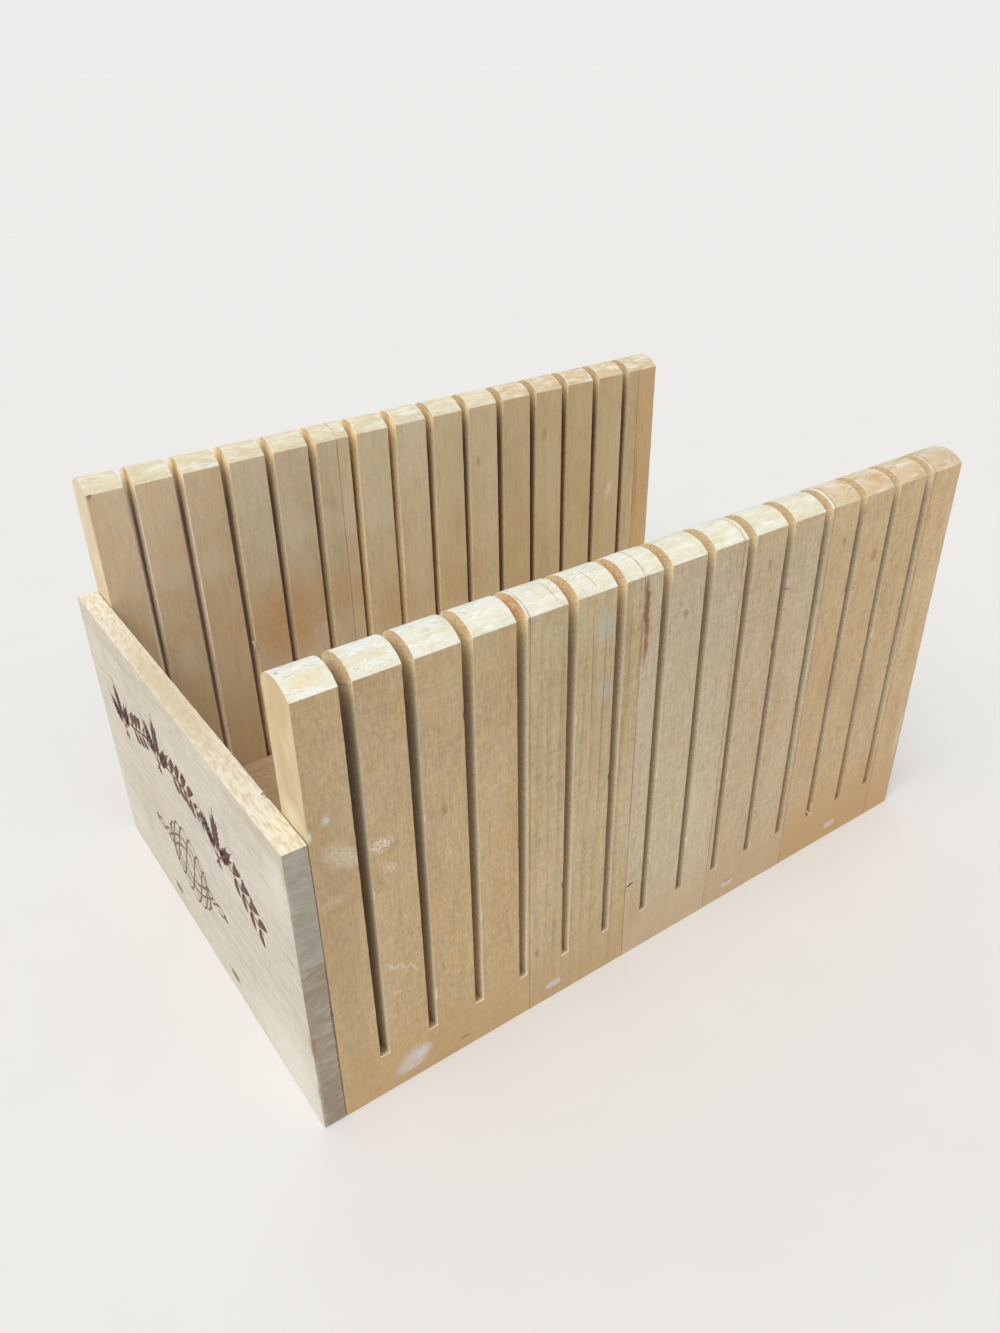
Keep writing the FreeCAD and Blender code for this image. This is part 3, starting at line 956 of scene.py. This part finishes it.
upper_marks = [
    on_front(6, board_joint + 0.2, 16, 0.5, glue, 0.7),
    on_front(16, board_joint + 3.2, 12, 0.25, glue, 0.45, 0.7),
    ((front_middle, 0, board_top), (8, 84, 2.5), (0, 0, 0), (208, 187, 152), 0.75, 0.9),
    on_front(1, 118, 1.3, 7, amber, 0.5), on_front(44, 123, 6, 2.2, amber, 0.25, 0.9),
    on_front(98, 112, 20, 8, (219, 210, 190), 0.4, 0.95),
    on_front(22, 96, 10, 12, (222, 214, 198), 0.4, 0.95),
    on_front(8, 108, 14, 22, (228, 226, 214), 0.65, 0.95),
    on_front(52, 100, 7, 12, (178, 178, 160), 0.35, 0.95),
    on_front(96, 114, 18, 10, (194, 184, 162), 0.45, 0.95),
    on_front(130, 100, 40, 30, (200, 190, 165), 0.35, 0.95),
    on_front(192, 112, 14, 16, (224, 218, 204), 0.5, 0.95),
]


def dress_front(node, name, seen, marks, nicks=()):
    """One of the two boards, with its face set back behind the print."""
    def corner_width(place):
        if abs(place.z - board_joint) < touching:
            return 0
        at_end = abs(abs(place.y) - far_outer) < touching
        at_edge = place.z > board_top - touching or place.z < touching
        on_side = place.x < front_face + 0.2 or place.x > wall_start - touching
        return 0.45 if at_end or (at_edge and on_side) else 0

    def spared(place, _):
        inside = abs(place.y) < far_outer - 1 and 1 < place.z < board_top - 1
        return inside or abs(place.z - board_joint) < 0.2

    piece = copy_of(node, name)
    with editing():
        pick(piece, lambda place: place.x < front_face + touching)
        bpy.ops.transform.translate(value=(print_room * MM, 0, 0))
    cut_rows((0, 1, 0), range(-98, 99, 4))
    wear(piece, corner_width, spared, nicks, depth=0.24, cell=2.6)
    material = wood(name + " wood", "Y", seen, (), marks, top_edge=top_colours)
    hand_over(piece, material, "front_board", node)


chip = (wall_start, near_outer + 29, board_top), (1.5, 2.6, 1.1), (0, 35, 20)
dress_front("front_board_lower", "front_lower", lower_look, lower_marks)
dress_front("front_board_upper", "front_upper", upper_look, upper_marks, [chip])

# %% [markdown]
# ## The floor
# Four boards with their grain along the trough. Only a narrow strip of them shows between the
# walls from the front, and their end grain shows at the open end.

# %% Dress the floor
floor_joints = [near_inner + joint for joint in (39, 84, 124.4)]
floor_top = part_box("floor_stave_1")[1].z / MM
floor_looks = [
    look(light, dark, pith, spacing, seed, 0.5, 0.01, 0.4, end=end, end_dark=end_dark,
         chalk=(222, 208, 178))
    for light, dark, pith, spacing, seed, end, end_dark in (
        ((200, 174, 138), (172, 142, 104), (-60, -30), 4.6, (3, 2, 1), (214, 192, 152), (176, 142, 98)),
        ((203, 179, 145), (176, 148, 112), (-10, 70), 5, (5, 6, 2), (218, 196, 158), (180, 146, 102)),
        ((197, 170, 135), (170, 139, 102), (30, -60), 5, (8, 1, 6), (212, 188, 148), (174, 140, 96)),
        ((201, 176, 141), (174, 144, 107), (70, 60), 4.8, (1, 5, 8), (216, 194, 154), (178, 144, 100)))
]


def floor_corner(place):
    """Only the long corners at the open end are rubbed."""
    on_skin = place.z < touching or place.z > floor_top - touching
    return 0.5 if on_skin and abs(place.x - wall_end) < touching else 0


for number, seen in enumerate(floor_looks, 1):
    node = f"floor_stave_{number}"
    piece = copy_of(node, f"floor_board_{number}")
    soften(piece, floor_corner)
    shade_flat_and_round(piece)
    hand_over(piece, wood(f"floor wood {number}", "X", seen, floor_joints), "floor_board", node)

# %% [markdown]
# ## Staples and filler
# Wire staples hold the walls and the front to the floor. They were driven just below the surface
# and covered with filler, which dried to a pale lens on the walls and a darker one on the front.
# These solids are right as they are, so they keep their shape and only get a finish.

# %% Fastener finishes
def galvanised(name):
    """Zinc-coated wire: dull spangles and the fine lines left by drawing."""
    material, shader, place = new_material(name, metallic=1.0)
    spangle = place.noise((2.2, 2.2, 2.2), 3, 0.6)
    drawn_lines = place.noise((9, 0.8, 9), 2, 0.6)
    colour = spangle.mix_of(shade(150, 152, 156), shade(190, 192, 194))
    colour = colour.times(0.9 + drawn_lines * 0.2)
    return finish(material, shader, colour, 0.34 + spangle * 0.2, drawn_lines * 0.02)


def putty(name, tint, dark, marks=()):
    """Dried filler: lumpy, with darker grit in it."""
    material, shader, place = new_material(name)
    grit = place.noise((3.2, 3.2, 3.2), 3, 0.65)
    lump = place.noise((0.5, 0.5, 0.5), 3, 0.6)
    colour = lump.rise(0.35, 0.7).mix_of(shade(*tint), shade(*[part * 0.93 for part in tint]))
    colour = colour.mix(shade(*dark), grit.rise(0.58, 0.74) * 0.35)
    colour = add_marks(colour, place, marks, (2, 4, 6))
    return finish(material, shader, colour, 0.75 + grit * 0.1, grit * 0.05 + lump * 0.08)


def finish_node(node, material):
    """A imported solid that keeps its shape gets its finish."""
    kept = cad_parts[node]
    kept.data.materials.clear()
    kept.data.materials.append(material)


wire = galvanised("galvanised wire")
for side in ("near_wall", "far_wall", "front_board"):
    finish_node(side + "_staples", wire)
pale, pale_grit = (212, 196, 178), (176, 152, 126)
dried_edge = [on_near(191.3, 8.9, 3.4, 0.55, (110, 86, 66), 0.85, 0.5)]
finish_node("near_wall_filler", putty("pale putty", pale, pale_grit, dried_edge))
finish_node("far_wall_filler", putty("pale putty", pale, pale_grit))
finish_node("front_board_filler", putty("dark putty", (150, 130, 108), (110, 92, 74)))

# %% [markdown]
# ## The printed ornament
# The front carries a print in reddish-brown ink that has soaked into the wood. Here it is a
# garland of wheat ears and leaves, bent along an arch, over a penman's knot of interlaced loops.
# Every stroke is a flat ribbon: a curve whose points carry their own radius, as the pressure of
# a broad pen does, turned into a mesh a few hundredths of a millimetre thick.

# %% Pen strokes
ink_thickness = 0.03
ink_inset = 0.045  # behind the solids' front face, so inside the room left for the print


def stroke(points, radii, closed=False):
    """One stroke: its points and half widths in mm, on a sheet with x to the right and y up."""
    return points, radii, closed


def tapered(start, end, half_width, bow=0.0, count=7):
    """A leaf-shaped stroke from start to end, bowed to one side."""
    start, end = Vector(start), Vector(end)
    side = Vector((start.y - end.y, end.x - start.x)) * bow
    points, radii = [], []
    for step in range(count):
        part = step / (count - 1)
        swell = math.sin(math.pi * part)
        points.append(start.lerp(end, part) + side * swell)
        radii.append(max(0.05, half_width * swell ** 0.75))
    return stroke(points, radii)


def draw(name, strokes, material):
    """All the strokes as one thin printed piece on the front face."""
    curve = bpy.data.curves.new(name, "CURVE")
    curve.dimensions = "3D"
    curve.twist_mode = "Z_UP"
    curve.resolution_u = 3
    curve.extrude = MM
    for number, (points, radii, closed) in enumerate(strokes):
        line = curve.splines.new("NURBS")
        line.points.add(len(points) - 1)
        for point, (x, y, *height), radius in zip(line.points, points, radii):
            above = height[0] if height else 0.004 * (number % 4)  # so that crossing strokes differ
            point.co = (x * MM, y * MM, above * MM, 1)
            point.radius = radius
            point.tilt = math.pi / 2
        line.order_u = 3
        line.use_endpoint_u = not closed
        line.use_cyclic_u = closed
    piece = bpy.data.objects.new(name, curve)
    scene.collection.objects.link(piece)
    select_only(piece)
    bpy.ops.object.convert(target="MESH")
    piece = bpy.context.object
    apply(piece, "SOLIDIFY", thickness=ink_thickness * MM, offset=-1.0)
    base = (front_face + ink_inset) * MM
    piece.data.transform(Matrix(((0, 0, -1, base), (-1, 0, 0, 0), (0, 1, 0, 0), (0, 0, 0, 1))))
    with editing():
        bpy.ops.mesh.normals_make_consistent(inside=False)
    hand_over(piece, material, "ornament_print")


def ink(name, tint, worn):
    """Ink soaked into the wood: thin where the grain is hard, with the wood showing in specks."""
    material, shader, place = new_material(name)
    fibre = place.noise(drawn("Y", 0.5, 9), 3, 0.6)
    speck = place.noise(drawn("Y", 0.4, 1.8), 2, 0.6)
    deep, thin = (shade(*[part * level for part in tint]) for level in (0.88, 1.12))
    colour = fibre.rise(0.3, 0.7).mix_of(deep, thin)
    colour = colour.mix(shade(196, 178, 150), speck.rise(0.60, 0.80) * worn)
    return finish(material, shader, colour, 0.6 + fibre * 0.1, fibre * 0.02)

# %% Garland and flourish
def arch(x):
    """Height of the garland's stem over its place from the middle of the board."""
    return 93.0 - 0.0029 * (x + 12) ** 2 + 1.2 * math.sin(x / 6.5)


def slope(x):
    """The stem's angle over the same place."""
    return math.atan2(arch(x + 0.5) - arch(x - 0.5), 1.0)


def polar(origin, angle, length):
    """The point at a length from the origin, in the direction of the angle."""
    return Vector(origin) + Vector((math.cos(angle), math.sin(angle))) * length


def wheat_ear(foot, angle, height):
    """An ear on its stalk: five pairs of grains, one on top, and an awn to each."""
    strokes = [tapered(foot, polar(foot, angle, height * 0.95), 0.5, 0.02)]
    for pair in range(5):
        base = polar(foot, angle, height * (0.28 + 0.135 * pair))
        for side in (-1, 1):
            start = polar(base, angle + side * math.pi / 2, 0.7)
            reach = angle + side * math.radians(30)
            tip = polar(start, reach, 4.0 - 0.2 * pair)
            awn_end = polar(tip, angle + side * math.radians(15), 2.8)
            strokes.append(tapered(start, polar(start, reach, 4.4 - 0.2 * pair), 1.35, -0.10 * side))
            strokes.append(tapered(tip, awn_end, 0.24, -0.03 * side))
    top = polar(foot, angle, height * 0.92)
    strokes.append(tapered(top, polar(top, angle, 4.8), 1.2))
    strokes.append(tapered(polar(top, angle, 4.2), polar(top, angle, 8.5), 0.22))
    return strokes


def sheaf(x, height, spread=42):
    """Three ears that fan out from a tie on the stem."""
    upright = slope(x) + math.pi / 2
    foot = polar((x, arch(x)), upright, -6.5)
    strokes = []
    for lean, part in ((spread, 0.84), (0, 1.05), (-spread, 0.84)):
        strokes += wheat_ear(foot, upright + math.radians(lean), height * part)
    for lean in (-150, 180, 150):
        strokes.append(tapered(foot, polar(foot, upright + math.radians(lean), 5.0), 0.7))
    tie = polar(foot, upright, 1.2)
    strokes.append(tapered(polar(tie, upright + 1.57, 2.6), polar(tie, upright - 1.57, 2.6), 0.9))
    return strokes


def leaf(x, side, length, half_width, lean=50):
    """A leaf that springs from the stem and bends back towards it."""
    start = Vector((x, arch(x)))
    angle = slope(x) + side * math.radians(lean)
    return tapered(start, polar(start, angle, length), half_width, 0.18 * side)


stem = [x * 2.5 for x in range(-31, 30)]
garland = [stroke([Vector((x, arch(x))) for x in stem],
                  [0.55 + 0.2 * math.sin(x / 3.0) for x in stem])]
for x, height in ((-68, 17), (-21, 19), (37, 19)):
    garland += sheaf(x, height)
for x in (-53, -47.5, -42, -5, 1, 7, 12.5, 51, 57, 63, 69):
    garland += [leaf(x, 1, 9.2, 2.2), leaf(x + 1.5, -1, 8.0, 2.0)]
for x in (-36, -32, 18, 22):
    garland += [leaf(x, 1, 5.0, 1.1), leaf(x + 2, -1, 4.4, 1.0)]
for x in (-50, -44.5, -2, 4, 10, 54, 60, 66):
    berry = (x, arch(x) + 7.6)
    ring = [polar(berry, math.pi * step / 3, 0.6) for step in range(6)]
    garland.append(stroke(ring, [0.65] * 6, True))
draw("garland_print", garland, ink("reddish brown ink", (98, 58, 50), 0.3))


def pen_width(before, after, thick=0.62, thin=0.26):
    """Half width of a broad pen held at a slant, for the direction that the line runs in."""
    angle = math.atan2(after[1] - before[1], after[0] - before[0])
    return thin + (thick - thin) * abs(math.sin(angle + math.pi / 4))


def penned(points, closed=False):
    """A stroke whose width follows its direction."""
    around = [points[-1], *points, points[0]] if closed else [points[0], *points, points[-1]]
    radii = [pen_width(before, after) for before, after in zip(around, around[2:])]
    return stroke(points, radii, closed)


def shares(count):
    """The shares from 0 to 1 at which a line of the flourish is given its points."""
    return [step / count for step in range(count + 1)]


knot_x, knot_y, tail_y = -7.6, 44, 44.4
wide, high = 19.5, 19.2  # half the size of the knot's loops
tail_start, tail_length, hook_reach, hook_radius = 17.4, 19.5, 36.6, 1.5
loops = []
for part in shares(240)[:-1]:
    angle = 2 * math.pi * part
    x = wide * math.sin(3 * angle)
    y = high * math.cos(7 * angle) * (1 - 0.55 * (x / wide) ** 2)
    loops.append((x + knot_x, y + knot_y, 0.008 * math.cos(21 * angle)))
flourish = [penned(loops, True)]
for side in (-1, 1):
    for reach, swell in ((24, 11.5), (17, 7.0)):
        flourish.append(penned([
            (reach * part + knot_x, knot_y + side * swell * math.cos(math.pi / 2 * part), -0.012 * side)
            for part in [2 * share - 1 for share in shares(20)]]))
for side in (-1, 1):
    level = tail_y - 0.9 * side
    for phase in (-1, 1):
        flourish.append(penned([
            (side * (tail_start + tail_length * part) + knot_x,
             level + phase * 3.4 * (1 - 0.55 * part) * math.sin(2 * math.pi * part), 0.006 * phase)
            for part in shares(24)]))
    turns = [2 * math.pi * part for part in shares(8)[:-1]]
    flourish.append(penned([(side * (hook_reach + hook_radius * math.cos(turn)) + knot_x,
                             level + hook_radius * math.sin(turn), 0.0) for turn in turns], True))
draw("flourish_print", flourish, ink("greyish brown ink", (118, 93, 78), 0.4))

# %% [markdown]
# ## Splinters
# The saw lifted a few slivers that never came off: one at the foot of a slot in the near wall,
# and one that hangs in a slot of the far wall. A thin cone, bent with a modifier, does for each.

# %% Splinters
fresh = look((232, 212, 176), (204, 170, 124), (40, 40), 3.0, (1, 1, 1))
splinter_wood = wood("splinter wood", "Z", fresh)


def splinter(name, centre, length, half_width, lean, bend, slot):
    """A sliver, from a thin cone: bent, then leant about y, both in degrees."""
    bpy.ops.mesh.primitive_cone_add(vertices=7, radius1=half_width * MM, radius2=0.06 * MM,
                                    depth=length * MM)
    piece = bpy.context.object
    piece.name = name
    cut_rows((0, 0, 1), [(part / 6 - 0.5) * length for part in range(1, 6)])
    apply(piece, "SIMPLE_DEFORM", deform_method="BEND", deform_axis="X", angle=math.radians(bend))
    turn = Matrix.Rotation(math.radians(lean), 4, "Y")
    piece.data.transform(Matrix.Translation(Vector(centre) * MM) @ turn)
    bpy.ops.object.shade_smooth_by_angle(angle=math.radians(40))
    hand_over(piece, splinter_wood, slot)


splinter("foot_splinter", (slots[11] + 1.9, near_outer + 1.1, 22.2), length=9.0, half_width=0.7,
         lean=-38, bend=14, slot="wall_warm")
splinter("hanging_splinter", (slots[2] + 2.9, far_inner - 0.1, 87.0), length=7.5, half_width=0.75,
         lean=172, bend=22, slot="wall_grained")

# %% [markdown]
# ## Floor and light
# The guide stands on a plain pale floor that runs on to a pale surround. An even sky keeps every
# side readable, and one very wide sun, above the front board and a little to its near side, makes
# the tops brightest. The insides of the slots fall into shade, deepened by the shade painted into
# their walls. At this level a colour renders about as it is written.

# %% Floor, sky and lamps
bpy.ops.object.select_all(action="DESELECT")
floor_radius, gap = 14, 0.00002  # in metres: the gap keeps the floor clear of the faces that rest
bpy.ops.mesh.primitive_circle_add(vertices=96, radius=floor_radius, fill_type="NGON",
                                  location=(0, 0, -gap))
floor = bpy.context.object
floor.name = "studio_floor"
paper, paper_shader, paper_place = new_material("pale paper")
grain = paper_place.noise((0.02, 0.02, 0.02), 2, 0.5)
tone = grain.mix_of(shade(228, 227, 225), shade(232, 231, 229))
finish(paper, paper_shader, tone, grain * 0.1 + 0.75, grain * 0.0)
floor.data.materials.append(paper)

world = bpy.data.worlds.new("studio sky")
scene.world = world
world.use_nodes = True
background = world.node_tree.nodes["Background"]
sky = Wire(world.node_tree)
seen_direct = sky.node("LightPath", output="Is Camera Ray")
sky_level, paper_level = 0.62, 0.845
for ray in ("Is Glossy Ray", "Is Transmission Ray"):
    seen_direct = seen_direct.maths("MAXIMUM", seen_direct, sky.node("LightPath", output=ray))
level = seen_direct * (paper_level - sky_level) + sky_level
world.node_tree.links.new(level.socket, background.inputs["Strength"])
background.inputs["Color"].default_value = (1.0, 0.997, 0.992, 1)

sun_data = bpy.data.lights.new("wide sun", "SUN")
sun_data.energy = 1.73
sun_data.angle = math.radians(50)
sun = bpy.data.objects.new("wide sun", sun_data)
scene.collection.objects.link(sun)
towards_sun = Vector((-0.508, -0.272, 0.817))
sun.rotation_euler = towards_sun.to_track_quat("Z", "Y").to_euler()
print(f"sky {sky_level}, sun {sun_data.energy} W per square metre")

# %% [markdown]
# ## Last update

# %% Update the scene
bpy.context.view_layer.update()
